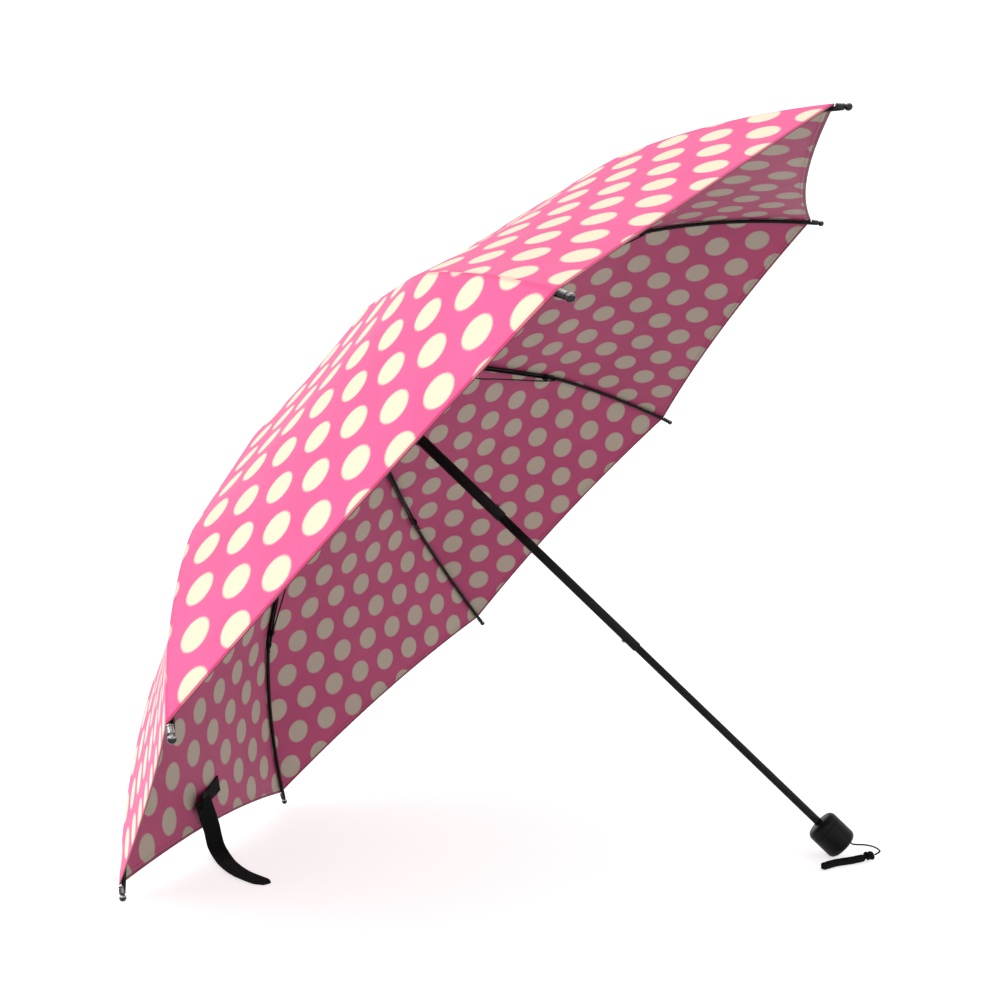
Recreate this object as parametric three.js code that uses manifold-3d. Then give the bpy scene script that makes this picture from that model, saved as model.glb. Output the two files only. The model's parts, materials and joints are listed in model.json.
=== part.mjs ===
// A child's three-section folding umbrella, open and lying on the floor.
//
// It is drawn about its own shaft first: the shaft is the Z axis, the crown is up, and the eight rib
// tips lie in the plane z = 0. The whole umbrella is then leaned over, so that it rests on two rib
// tips and on the rim of its handle, and the wrist cord and the closing strap lie on the floor.
// Millimetres, +Z up. The origin is on the floor, under the middle of the umbrella's box.

import * as THREE from "three";
import { mergeVertices } from "three/addons/utils/BufferGeometryUtils.js";
import Module from "manifold-3d";

const wasm = await Module();
wasm.setup();

// ---------------------------------------------------------------- driving dimensions

const RIB_COUNT = 8;
const GORE_ANGLE = (2 * Math.PI) / RIB_COUNT;
const FIRST_RIB_ANGLE = -GORE_ANGLE / 2;

const CROWN_PIVOT = { r: 13.5, z: 207.4 };
const TOP_RIB = { length: 160, slope: degrees(12.3) };
const MIDDLE_RIB = { length: 150, slope: degrees(22.3) };
const OUTER_RIB = { length: 180, slope: degrees(40.2), bow: 6.5, radius: 1.8 };

const CHANNEL = { width: 4, height: 3.4, wall: 0.7 }; // the folded steel strip of the two inner ribs
const PIVOT_OFFSET = CHANNEL.height / 2 + 0.2; // of a rib joint from the rib's own centre line
const EYE = { radius: 1.9, thickness: 1.6, hole: 1.25 };
const EAR = { thickness: 0.85, reach: 7 };
const RIVET_RADIUS = 0.8;
const BAR_GAP = 3; // from a joint to where the full width of a rib starts
const HUB_TONGUE = { width: 3, height: 3.4, reach: 9 };

const STRETCHER = { width: 3, height: 2.8, hingeAt: 78, hingeDrop: 3.5, footRadius: 10, footZ: 166 };

const UPPER_TUBE = { radius: 5.1, bore: 4.55, top: 211, bottom: 7 };
const MIDDLE_TUBE = { radius: 4.25, bore: 3.75, top: 32, bottom: -161 };
const LOWER_TUBE = { radius: 3.45, bore: 2.9, top: -140, bottom: -395 };

const CROWN = { radius: 17, bore: 5.4, top: 210.6, bottom: 202, slotFrom: 10.6, slotWidth: 3.8 };
const CROWN_RING = { radius: 0.7, grooveHalf: 1.1 };
const RUNNER = {
  bore: 5.5, neck: 7.2, bottom: 118, flange: 8.8, flangeTop: 123.5,
  head: 13, headBottom: 158, headTop: 170, slotFrom: 8.2, slotWidth: 3.8,
};

const CANOPY = { thickness: 0.5, hole: 3.2, scallop: 12, cornerGap: 6.2, columns: 4 };
const CAP = { dome: 8, foot: 217.6, top: 222.5, stem: 2.3, stemBottom: 206 };
const WASHER = { inner: 3, outer: 9, bottom: 211.6, top: 213 };
const TIP = { ball: 2.9, sleeve: 2.5, bore: 2.1, boreDepth: 6.2, onWire: 5.8, length: 12 };

const HANDLE = { radius: 14.4, top: -373, bottom: -402, shoulder: 5, rim: 5, bore: 3.75, socket: 26 };
const HANDLE_PLUG = { radius: 9, recess: 1.6, face: 0.2, cordAt: { x: 6.8, y: -2 } };

const CORD = { radius: 0.65, sides: 8, steps: 30, straight: 2.5 };
const KNOT = { radius: 4.2 };
const WRIST_STRAP = { radius: 2.9, sides: 10, steps: 14 };
const CLOSING_STRAP = { width: 16, thickness: 1.2, steps: 28, tipWidth: 7, taperFrom: 0.93 };
const FLOOR_GAP = 0.4; // between the floor and what lies loose on it

const ROUND = 24; // sides of a tube
const LARGE_ROUND = 32;
const SMALL_ROUND = 8;
const TOUCH = 0.3; // left between pieces that rest against each other

const COLOURS = {
  cloth: 0xf0679f, black: 0x101012, steel: 0x16161a, chrome: 0xc8cacd, webbing: 0x121214,
};

// ---------------------------------------------------------------- small tools

function degrees(value) {
  return (value * Math.PI) / 180;
}

function paint(colour, roughness, metalness) {
  return new THREE.MeshStandardMaterial({ color: colour, roughness, metalness });
}

const MATERIALS = {
  cloth: paint(COLOURS.cloth, 0.75, 0),
  plastic: paint(COLOURS.black, 0.45, 0),
  steel: paint(COLOURS.steel, 0.4, 0.4),
  chrome: paint(COLOURS.chrome, 0.15, 1),
  webbing: paint(COLOURS.webbing, 0.9, 0),
};

function solidOf(geometry) {
  const bare = geometry.clone();
  bare.deleteAttribute("normal");
  bare.deleteAttribute("uv");
  const merged = mergeVertices(bare, 1e-4);
  return new wasm.Manifold(
    new wasm.Mesh({
      numProp: 3,
      vertProperties: new Float32Array(merged.attributes.position.array),
      triVerts: new Uint32Array(merged.index.array),
    }),
  );
}

function geometryOf(solid) {
  const mesh = solid.getMesh();
  const geometry = new THREE.BufferGeometry();
  geometry.setAttribute("position", new THREE.BufferAttribute(mesh.vertProperties, 3));
  geometry.setIndex(new THREE.BufferAttribute(mesh.triVerts, 1));
  geometry.computeVertexNormals();
  return geometry;
}

function join(pieces) {
  return pieces.map(solidOf).reduce((whole, piece) => whole.add(piece));
}

function cut(solid, pieces) {
  return pieces.map(solidOf).reduce((whole, piece) => whole.subtract(piece), solid);
}

function box(low, high) {
  const size = high.map((value, axis) => value - low[axis]);
  const middle = high.map((value, axis) => (value + low[axis]) / 2);
  return new THREE.BoxGeometry(...size).translate(...middle);
}

/** A turned piece about the Z axis. The outline's points are [radius, z], in either direction. */
function turned(outline, sides) {
  const points = outline.map(([r, z]) => new THREE.Vector2(r, z));
  if (THREE.ShapeUtils.area(points) < 0) {
    points.reverse();
  }
  return new THREE.LatheGeometry([...points, points[0]], sides).rotateX(Math.PI / 2);
}

/** A round bar across a rib, along Y, at a joint. */
function crossBar(radius, width, x, z, sides) {
  return new THREE.CylinderGeometry(radius, radius, width, sides).translate(x, 0, z);
}

/** A regular polygon to sweep along a wire or a cord. */
function roundSection(radius, sides) {
  const points = [];
  for (let side = 0; side < sides; side++) {
    const angle = (2 * Math.PI * side) / sides;
    points.push(new THREE.Vector2(radius * Math.cos(angle), radius * Math.sin(angle)));
  }
  return new THREE.Shape(points);
}

/** Points of a quarter circle from one angle to another, for an outline's rounded corner. */
function corner(centreR, centreZ, radius, from, to, steps = 3) {
  const points = [];
  for (let step = 0; step <= steps; step++) {
    const angle = from + ((to - from) * step) / steps;
    points.push([centreR + radius * Math.cos(angle), centreZ + radius * Math.sin(angle)]);
  }
  return points;
}

// ---------------------------------------------------------------- where the joints are

/** Unit vectors of a rib that slopes down and outward: along it, and out of its cloth side. */
function ribAxes(slope) {
  return {
    along: new THREE.Vector2(Math.cos(slope), -Math.sin(slope)),
    out: new THREE.Vector2(Math.sin(slope), Math.cos(slope)),
  };
}

/** The pivots in one rib's own plane, as (radius, z). The rib folds back on itself at each one. */
function findPivots() {
  const top = ribAxes(TOP_RIB.slope);
  const middle = ribAxes(MIDDLE_RIB.slope);
  const outer = ribAxes(OUTER_RIB.slope);
  const crown = new THREE.Vector2(CROWN_PIVOT.r, CROWN_PIVOT.z);
  const first = crown.clone()
    .addScaledVector(top.along, TOP_RIB.length)
    .addScaledVector(top.out, PIVOT_OFFSET);
  const second = first.clone()
    .addScaledVector(middle.along, MIDDLE_RIB.length)
    .addScaledVector(middle.out, -2 * PIVOT_OFFSET);
  const tip = second.clone()
    .addScaledVector(outer.out, PIVOT_OFFSET)
    .addScaledVector(outer.along, OUTER_RIB.length);
  const stretcher = crown.clone()
    .addScaledVector(top.along, STRETCHER.hingeAt)
    .addScaledVector(top.out, -STRETCHER.hingeDrop);
  return { crown, first, second, tip, stretcher };
}

const PIVOTS = findPivots();
const RIB_END_SLOPE = OUTER_RIB.slope + Math.atan((4 * OUTER_RIB.bow) / OUTER_RIB.length);
const FOOT = new THREE.Vector2(STRETCHER.footRadius, STRETCHER.footZ);
const STRETCHER_LENGTH = FOOT.distanceTo(PIVOTS.stretcher);
const STRETCHER_SLOPE = Math.atan2(PIVOTS.stretcher.y - FOOT.y, FOOT.x - PIVOTS.stretcher.x);

// ---------------------------------------------------------------- ribs and stretchers
// Each is drawn with its inner joint at the origin, +X along it and +Z out of its cloth side.

/** The folded strip of a rib: a channel that is open on the side away from the cloth. */
function channel(from, to, middleZ) {
  const half = CHANNEL.width / 2;
  const top = CHANNEL.height / 2;
  const inner = half - CHANNEL.wall;
  const outline = [
    [-half, -top], [-inner, -top], [-inner, top - CHANNEL.wall], [inner, top - CHANNEL.wall],
    [inner, -top], [half, -top], [half, top], [-half, top],
  ];
  const shape = new THREE.Shape(outline.map(([y, z]) => new THREE.Vector2(y, z)));
  const alongX = new THREE.Matrix4().makeBasis(
    new THREE.Vector3(0, 1, 0), new THREE.Vector3(0, 0, 1), new THREE.Vector3(1, 0, 0),
  );
  return new THREE.ExtrudeGeometry(shape, { depth: to - from, bevelEnabled: false })
    .applyMatrix4(alongX)
    .translate(from, 0, middleZ);
}

/** Two side plates and the rivet between them, which hold the next piece's eye. */
function fork(x, z, plate) {
  const inside = EYE.thickness / 2 + 0.35;
  const pieces = [crossBar(RIVET_RADIUS, CHANNEL.width - 0.2, x, z, 8)];
  for (const side of [-1, 1]) {
    const near = side * inside;
    const far = side * (inside + EAR.thickness);
    const low = Math.min(near, far);
    const high = Math.max(near, far);
    pieces.push(box([x + plate.from, low, plate.low], [x + plate.to, high, plate.high]));
    pieces.push(crossBar(EYE.radius, EAR.thickness, x, z, SMALL_ROUND).translate(0, (low + high) / 2, 0));
  }
  return pieces;
}

/** The eye at a piece's inner end, with the tongue that carries it. */
function tongue(middleZ, width, reach, height) {
  return [
    crossBar(EYE.radius, width, 0, 0, SMALL_ROUND),
    box([0.6, -width / 2, middleZ - height / 2], [reach, width / 2, middleZ + height / 2]),
  ];
}

function eyeHole(width) {
  return crossBar(EYE.hole, width + 1, 0, 0, 10);
}

function topRibGeometry() {
  const end = TOP_RIB.length;
  const half = CHANNEL.height / 2;
  const solid = join([
    channel(HUB_TONGUE.reach - 3, end - BAR_GAP, 0),
    ...tongue(0, HUB_TONGUE.width, HUB_TONGUE.reach, HUB_TONGUE.height),
    ...fork(end, PIVOT_OFFSET, { from: -EAR.reach, to: 0, low: -half, high: PIVOT_OFFSET }),
    ...fork(STRETCHER.hingeAt, -STRETCHER.hingeDrop, {
      from: -EYE.radius, to: EYE.radius, low: -STRETCHER.hingeDrop, high: CHANNEL.wall - half,
    }),
  ]);
  return geometryOf(cut(solid, [eyeHole(HUB_TONGUE.width)]));
}

function middleRibGeometry() {
  const end = MIDDLE_RIB.length;
  const half = CHANNEL.height / 2;
  const solid = join([
    channel(BAR_GAP, end - BAR_GAP, -PIVOT_OFFSET),
    ...tongue(-PIVOT_OFFSET, EYE.thickness, HUB_TONGUE.reach, CHANNEL.height),
    ...fork(end, -2 * PIVOT_OFFSET, {
      from: -EAR.reach, to: 0, low: -2 * PIVOT_OFFSET, high: half - PIVOT_OFFSET,
    }),
  ]);
  return geometryOf(cut(solid, [eyeHole(EYE.thickness)]));
}

/** The outer rib is a round wire that the tight cloth bows outward. */
function outerRibGeometry() {
  const straight = new THREE.LineCurve3(
    new THREE.Vector3(BAR_GAP, 0, PIVOT_OFFSET),
    new THREE.Vector3(OUTER_RIB.length, 0, PIVOT_OFFSET),
  );
  const bowed = new THREE.QuadraticBezierCurve3(
    straight.v1,
    new THREE.Vector3(OUTER_RIB.length / 2, 0, PIVOT_OFFSET + 2 * OUTER_RIB.bow),
    straight.v2,
  );
  const wire = new THREE.ExtrudeGeometry(roundSection(OUTER_RIB.radius, 8), {
    steps: 8, bevelEnabled: false, extrudePath: bowed,
  });
  const solid = join([
    wire,
    ...tongue(PIVOT_OFFSET + 0.3, EYE.thickness, HUB_TONGUE.reach, 2 * OUTER_RIB.radius),
  ]);
  return geometryOf(cut(solid, [eyeHole(EYE.thickness)]));
}

/** The stretcher's far end is the linkage's open pivot: a round foot in the runner's slot. */
function stretcherGeometry() {
  const half = STRETCHER.width / 2;
  const foot = crossBar(STRETCHER.height / 2, STRETCHER.width, STRETCHER_LENGTH, 0, SMALL_ROUND);
  const solid = join([
    ...tongue(0, EYE.thickness, HUB_TONGUE.reach, STRETCHER.height),
    box([BAR_GAP, -half, -STRETCHER.height / 2], [STRETCHER_LENGTH, half, STRETCHER.height / 2]),
    foot,
  ]);
  return geometryOf(cut(solid, [eyeHole(EYE.thickness)]));
}

/** The metal cap at a rib's end: a sleeve over the wire, and a ball. Drawn along +Z. */
function tipCapGeometry() {
  const { ball, sleeve, bore, boreDepth, length } = TIP;
  const neck = sleeve - 0.5;
  const outline = [
    [bore, 0], [sleeve, 0], [sleeve, boreDepth - 0.2], [neck, boreDepth + 0.4],
    ...corner(0, length - ball, ball, Math.asin(neck / ball) - Math.PI / 2, Math.PI / 2, 4),
    [0, boreDepth], [bore, boreDepth],
  ];
  return turned(outline, 10);
}

// ---------------------------------------------------------------- shaft, crown and runner

function tube({ radius, bore, top, bottom }) {
  return turned([[bore, bottom], [radius, bottom], [radius, top], [bore, top]], ROUND);
}

/** A hole through one side of a tube's wall, toward the given angle. */
function sideHole(radius, reach, angle, z) {
  return new THREE.CylinderGeometry(radius, radius, reach, SMALL_ROUND)
    .rotateZ(Math.PI / 2)
    .translate(reach / 2, 0, 0)
    .rotateZ(angle)
    .translate(0, 0, z);
}

const SNAP = { radius: 1.7, hole: 2.2, leafLength: 24, leafWidth: 3, leafThickness: 0.5 };
const UPPER_SNAP = { z: 18, angle: degrees(20), inside: 3.1, outside: 6.2 };
const LOWER_SNAP = { z: -148, angle: degrees(200), inside: 2.2, outside: 5.2 };
const CATCH = { low: 109, high: RUNNER.bottom - TOUCH, width: 2.6, inside: 3.3, outside: 7.6 };
const CATCH_ANGLE = degrees(180);

function upperTubeGeometry() {
  const slot = box(
    [0, -CATCH.width / 2 - TOUCH, CATCH.low - TOUCH],
    [UPPER_TUBE.radius + 1, CATCH.width / 2 + TOUCH, CATCH.high + TOUCH],
  ).rotateZ(CATCH_ANGLE);
  const hole = sideHole(SNAP.hole, UPPER_TUBE.radius + 1, UPPER_SNAP.angle, UPPER_SNAP.z);
  return geometryOf(cut(solidOf(tube(UPPER_TUBE)), [slot, hole]));
}

function middleTubeGeometry() {
  const upperHole = sideHole(SNAP.hole, MIDDLE_TUBE.radius + 1, UPPER_SNAP.angle, UPPER_SNAP.z);
  const lowerHole = sideHole(SNAP.hole, MIDDLE_TUBE.radius + 1, LOWER_SNAP.angle, LOWER_SNAP.z);
  return geometryOf(cut(solidOf(tube(MIDDLE_TUBE)), [upperHole, lowerHole]));
}

function lowerTubeGeometry() {
  const hole = sideHole(SNAP.hole, LOWER_TUBE.radius + 1, LOWER_SNAP.angle, LOWER_SNAP.z);
  return geometryOf(cut(solidOf(tube(LOWER_TUBE)), [hole]));
}

/** A sprung button: a round stud on a leaf that lies inside the tube. */
function snapGeometry({ z, angle, inside, outside }) {
  const stud = new THREE.CylinderGeometry(SNAP.radius, SNAP.radius, outside - inside, SMALL_ROUND)
    .rotateZ(Math.PI / 2)
    .translate((inside + outside) / 2, 0, 0);
  const leaf = box(
    [inside - SNAP.leafThickness, -SNAP.leafWidth / 2, -SNAP.leafLength],
    [inside + 0.05, SNAP.leafWidth / 2, SNAP.radius],
  );
  const solid = join([stud, leaf]).rotate([0, 0, THREE.MathUtils.radToDeg(angle)]);
  return geometryOf(solid.translate([0, 0, z]));
}

/** The sprung catch under the runner. Its slanted top lets the runner ride over it on the way up. */
function catchGeometry() {
  const shape = new THREE.Shape([
    new THREE.Vector2(CATCH.inside, CATCH.low),
    new THREE.Vector2(UPPER_TUBE.radius, CATCH.low),
    new THREE.Vector2(CATCH.outside, CATCH.high - 2),
    new THREE.Vector2(CATCH.outside, CATCH.high),
    new THREE.Vector2(CATCH.inside, CATCH.high),
  ]);
  return new THREE.ExtrudeGeometry(shape, { depth: CATCH.width, bevelEnabled: false })
    .translate(0, 0, -CATCH.width / 2)
    .rotateX(Math.PI / 2)
    .rotateZ(CATCH_ANGLE);
}

/** Slots in a hub, one for each rib, from a radius outward. */
function ribSlots(from, to, width, low, high) {
  const slots = [];
  for (let rib = 0; rib < RIB_COUNT; rib++) {
    slots.push(box([from, -width / 2, low], [to, width / 2, high]).rotateZ(ribAngle(rib)));
  }
  return slots;
}

function crownGeometry() {
  const { radius, bore, top, bottom, slotFrom, slotWidth } = CROWN;
  const hub = turned([[bore, bottom], [radius - 2, bottom], [radius, bottom + 2], [radius, top - 1],
    [radius - 2, top], [bore, top]], LARGE_ROUND);
  const groove = turned([
    [CROWN_PIVOT.r - CROWN_RING.grooveHalf, CROWN_PIVOT.z - CROWN_RING.grooveHalf],
    [CROWN_PIVOT.r + CROWN_RING.grooveHalf, CROWN_PIVOT.z - CROWN_RING.grooveHalf],
    [CROWN_PIVOT.r + CROWN_RING.grooveHalf, top + 1],
    [CROWN_PIVOT.r - CROWN_RING.grooveHalf, top + 1],
  ], LARGE_ROUND);
  return geometryOf(cut(solidOf(hub), [
    groove, ...ribSlots(slotFrom, radius + 1, slotWidth, bottom - 1, top + 1),
  ]));
}

/** The wire that all eight rib eyes turn on. */
function crownRingGeometry() {
  return new THREE.TorusGeometry(CROWN_PIVOT.r, CROWN_RING.radius, 6, LARGE_ROUND)
    .translate(0, 0, CROWN_PIVOT.z);
}

function runnerGeometry() {
  const { bore, neck, bottom, flange, flangeTop, head, headBottom, headTop } = RUNNER;
  const body = turned([
    [bore, bottom], [flange - 0.8, bottom], [flange, bottom + 0.8], [flange, flangeTop - 0.8],
    [flange - 0.8, flangeTop], [neck, flangeTop + 0.6], [neck, headBottom - 3],
    [head, headBottom], [head, headTop - 1], [head - 1, headTop], [bore, headTop],
  ], LARGE_ROUND);
  return geometryOf(cut(solidOf(body), ribSlots(
    RUNNER.slotFrom, head + 1, RUNNER.slotWidth, headBottom - 4, headTop + 1,
  )));
}

function topCapGeometry() {
  const { dome, foot, top, stem, stemBottom } = CAP;
  const profile = [[0, stemBottom], [stem, stemBottom], [stem, foot], [dome, foot], [dome, foot + 1]];
  const rise = top - foot - 1;
  for (let step = 1; step < 5; step++) {
    const angle = (step / 5) * (Math.PI / 2);
    profile.push([dome * Math.cos(angle), foot + 1 + rise * Math.sin(angle)]);
  }
  profile.push([0, top]);
  return turned(profile, ROUND);
}

function washerGeometry() {
  const { inner, outer, bottom, top } = WASHER;
  return turned([[inner, bottom], [outer, bottom], [outer, top], [inner, top]], ROUND);
}

// ---------------------------------------------------------------- handle

function handleGeometry() {
  const { radius, top, bottom, shoulder, rim, bore, socket } = HANDLE;
  const outline = [
    [0, top - socket], [bore, top - socket], [bore, top],
    [bore + 3, top],
    ...corner(radius - shoulder, top - shoulder - 0.6, shoulder, Math.PI / 2, 0),
    ...corner(radius - rim, bottom + rim, rim, 0, -Math.PI / 2),
    [HANDLE_PLUG.radius + TOUCH, bottom], [HANDLE_PLUG.radius + TOUCH, bottom + HANDLE_PLUG.recess],
    [0, bottom + HANDLE_PLUG.recess],
  ];
  return turned(outline, LARGE_ROUND);
}

/** The disc set into the handle's end, which holds the wrist cord. */
function handlePlugGeometry() {
  const { radius, recess } = HANDLE_PLUG;
  const low = HANDLE.bottom + HANDLE_PLUG.face;
  return turned([[0, low], [radius, low], [radius, HANDLE.bottom + recess - TOUCH],
    [0, HANDLE.bottom + recess - TOUCH]], ROUND);
}

// ---------------------------------------------------------------- canopy

/** A point on the bowed outer rib's centre line, in the rib's plane, from its joint to its tip. */
function outerRibPoint(share) {
  const { along, out } = ribAxes(OUTER_RIB.slope);
  return PIVOTS.second.clone()
    .addScaledVector(out, PIVOT_OFFSET + 4 * OUTER_RIB.bow * share * (1 - share))
    .addScaledVector(along, OUTER_RIB.length * share);
}

/** The cloth's outer face over one rib, as (radius, z): two straight runs, then a bowed one. */
function clothProfile() {
  const overBar = CHANNEL.height / 2 + 0.5 + CANOPY.thickness;
  const overEye = EYE.radius + 0.5 + CANOPY.thickness;
  const bend = ribAxes((TOP_RIB.slope + MIDDLE_RIB.slope) / 2);
  const outer = ribAxes(OUTER_RIB.slope);
  const overOuter = (share) => outerRibPoint(share).addScaledVector(outer.out, overBar + 0.2);
  const first = PIVOTS.first.clone().addScaledVector(bend.out, overEye);
  const second = overOuter(0);
  const lastShare = 1 - CANOPY.cornerGap / OUTER_RIB.length;
  const apex = new THREE.Vector2(CANOPY.hole, CAP.foot - TOUCH);
  const points = [];
  const steps = { top: 3, middle: 3, outer: 5 };
  for (let step = 0; step < steps.top; step++) {
    points.push(apex.clone().lerp(first, step / steps.top));
  }
  for (let step = 0; step < steps.middle; step++) {
    points.push(first.clone().lerp(second, step / steps.middle));
  }
  for (let step = 0; step <= steps.outer; step++) {
    points.push(overOuter((step / steps.outer) * lastShare));
  }
  return points;
}

/** A closed shell: an outer and an inner skin, joined at the rim and at the hole for the cap. */
function canopyGeometry() {
  const profile = clothProfile();
  const rings = profile.length;
  const columns = RIB_COUNT * CANOPY.columns;
  const outward = profile.map((point, ring) => {
    const before = profile[Math.max(0, ring - 1)];
    const after = profile[Math.min(rings - 1, ring + 1)];
    const run = after.clone().sub(before).normalize();
    return new THREE.Vector2(-run.y, run.x);
  });
  const positions = [];
  const place = (ring, column, depth) => {
    const rib = Math.floor(column / CANOPY.columns);
    const share = (column % CANOPY.columns) / CANOPY.columns;
    const rimShare = ring === rings - 1 ? 4 * share * (1 - share) : 0;
    const point = profile[ring].clone().addScaledVector(outward[ring], -depth);
    const inward = profile[rings - 2].clone().sub(profile[rings - 1]).normalize();
    point.addScaledVector(inward, CANOPY.scallop * rimShare);
    const from = new THREE.Vector2(point.x, 0).rotateAround(new THREE.Vector2(), ribAngle(rib));
    const to = new THREE.Vector2(point.x, 0).rotateAround(new THREE.Vector2(), ribAngle(rib + 1));
    const flat = from.lerp(to, share);
    positions.push(flat.x, flat.y, point.y);
  };
  for (const depth of [0, CANOPY.thickness]) {
    for (let ring = 0; ring < rings; ring++) {
      for (let column = 0; column < columns; column++) {
        place(ring, column, depth);
      }
    }
  }
  const faces = [];
  const at = (skin, ring, column) => (skin * rings + ring) * columns + (column % columns);
  const quad = (a, b, c, d) => faces.push(a, b, c, a, c, d);
  for (let column = 0; column < columns; column++) {
    for (let ring = 0; ring < rings - 1; ring++) {
      const next = ring + 1;
      const beside = column + 1;
      quad(at(0, ring, column), at(0, next, column), at(0, next, beside), at(0, ring, beside));
      quad(at(1, ring, column), at(1, ring, beside), at(1, next, beside), at(1, next, column));
    }
    const rim = rings - 1;
    quad(at(0, rim, column), at(1, rim, column), at(1, rim, column + 1), at(0, rim, column + 1));
    quad(at(0, 0, column), at(0, 0, column + 1), at(1, 0, column + 1), at(1, 0, column));
  }
  const geometry = new THREE.BufferGeometry();
  geometry.setAttribute("position", new THREE.Float32BufferAttribute(positions, 3));
  geometry.setIndex(faces);
  geometry.computeVertexNormals();
  return geometry;
}

// ---------------------------------------------------------------- assembly

function ribAngle(rib) {
  return FIRST_RIB_ANGLE + GORE_ANGLE * rib;
}

function mesh(name, geometry, material) {
  const made = new THREE.Mesh(geometry, material);
  made.name = name;
  return made;
}

/** A group whose origin is at a joint, with +X along the piece that turns there. */
function jointFrame(pivot, slope) {
  const frame = new THREE.Group();
  frame.position.set(pivot.x, 0, pivot.y);
  frame.rotation.y = slope;
  return frame;
}

function addRibs(umbrella) {
  const shapes = {
    top: topRibGeometry(), middle: middleRibGeometry(), outer: outerRibGeometry(),
    stretcher: stretcherGeometry(), cap: tipCapGeometry(),
  };
  for (let rib = 0; rib < RIB_COUNT; rib++) {
    const arm = new THREE.Group();
    arm.rotation.z = ribAngle(rib);
    umbrella.add(arm);
    const pieces = [
      ["top_rib", PIVOTS.crown, TOP_RIB.slope, shapes.top],
      ["middle_rib", PIVOTS.first, MIDDLE_RIB.slope, shapes.middle],
      ["outer_rib", PIVOTS.second, OUTER_RIB.slope, shapes.outer],
      ["stretcher", PIVOTS.stretcher, STRETCHER_SLOPE, shapes.stretcher],
    ];
    for (const [name, pivot, slope, geometry] of pieces) {
      const frame = jointFrame(pivot, slope);
      frame.add(mesh(`${name}_${rib}`, geometry, MATERIALS.steel));
      arm.add(frame);
    }
    const capFrame = jointFrame(PIVOTS.tip, RIB_END_SLOPE);
    const cap = mesh(`tip_cap_${rib}`, shapes.cap, MATERIALS.chrome);
    cap.rotation.y = Math.PI / 2;
    cap.position.x = -TIP.onWire;
    capFrame.add(cap);
    arm.add(capFrame);
  }
}

function addShaft(umbrella) {
  const { plastic, steel, chrome, cloth } = MATERIALS;
  umbrella.add(
    mesh("upper_tube", upperTubeGeometry(), steel),
    mesh("middle_tube", middleTubeGeometry(), steel),
    mesh("lower_tube", lowerTubeGeometry(), steel),
    mesh("crown", crownGeometry(), plastic),
    mesh("crown_ring", crownRingGeometry(), chrome),
    mesh("crown_washer", washerGeometry(), plastic),
    mesh("top_cap", topCapGeometry(), plastic),
    mesh("runner", runnerGeometry(), plastic),
    mesh("runner_catch", catchGeometry(), chrome),
    mesh("upper_snap_button", snapGeometry(UPPER_SNAP), chrome),
    mesh("lower_snap_button", snapGeometry(LOWER_SNAP), chrome),
    mesh("handle", handleGeometry(), plastic),
    mesh("handle_plug", handlePlugGeometry(), plastic),
    mesh("canopy", canopyGeometry(), cloth),
  );
}

/** How far the shaft leans from upright when two tip balls and the handle's rim touch the floor. */
function leanAngle() {
  const ball = PIVOTS.tip.clone()
    .addScaledVector(ribAxes(RIB_END_SLOPE).along, TIP.length - TIP.onWire - TIP.ball);
  const tip = new THREE.Vector2(-ball.x * Math.cos(GORE_ANGLE / 2), ball.y);
  const rim = new THREE.Vector2(-(HANDLE.radius - HANDLE.rim), HANDLE.bottom + HANDLE.rim);
  const span = tip.clone().sub(rim);
  return Math.PI - Math.asin((TIP.ball - HANDLE.rim) / span.length()) - Math.atan2(span.y, span.x);
}

// ---------------------------------------------------------------- what lies on the floor

/** A round cord along a smooth line through points. */
function cordGeometry(points, radius, sides, steps) {
  return new THREE.ExtrudeGeometry(roundSection(radius, sides), {
    steps, bevelEnabled: false, extrudePath: new THREE.CatmullRomCurve3(points),
  });
}

/** A flat strap along points, its width across the way it runs, narrowed to a point at its end. */
function strapGeometry(points, across) {
  const { width, thickness, steps, tipWidth, taperFrom } = CLOSING_STRAP;
  const line = new THREE.CatmullRomCurve3(points);
  const positions = [];
  for (let step = 0; step <= steps; step++) {
    const share = step / steps;
    const point = line.getPointAt(share);
    const forward = line.getTangentAt(share);
    const side = across[0].clone().lerp(across[1], Math.min(1, share * 2));
    side.addScaledVector(forward, -side.dot(forward)).normalize();
    const up = new THREE.Vector3().crossVectors(forward, side).normalize();
    const taper = Math.max(0, (share - taperFrom) / (1 - taperFrom));
    const half = THREE.MathUtils.lerp(width, tipWidth, taper) / 2;
    for (const [a, b] of [[-1, -1], [1, -1], [1, 1], [-1, 1]]) {
      const place = point.clone().addScaledVector(side, a * half).addScaledVector(up, (b * thickness) / 2);
      positions.push(place.x, place.y, place.z);
    }
  }
  const faces = [0, 2, 1, 0, 3, 2];
  for (let step = 0; step < steps; step++) {
    for (let edge = 0; edge < 4; edge++) {
      const here = step * 4;
      const next = (edge + 1) % 4;
      faces.push(here + edge, here + next, here + next + 4, here + edge, here + next + 4, here + edge + 4);
    }
  }
  const last = steps * 4;
  faces.push(last, last + 1, last + 2, last, last + 2, last + 3);
  const geometry = new THREE.BufferGeometry();
  geometry.setAttribute("position", new THREE.Float32BufferAttribute(positions, 3));
  geometry.setIndex(faces);
  geometry.computeVertexNormals();
  return geometry;
}

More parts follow.
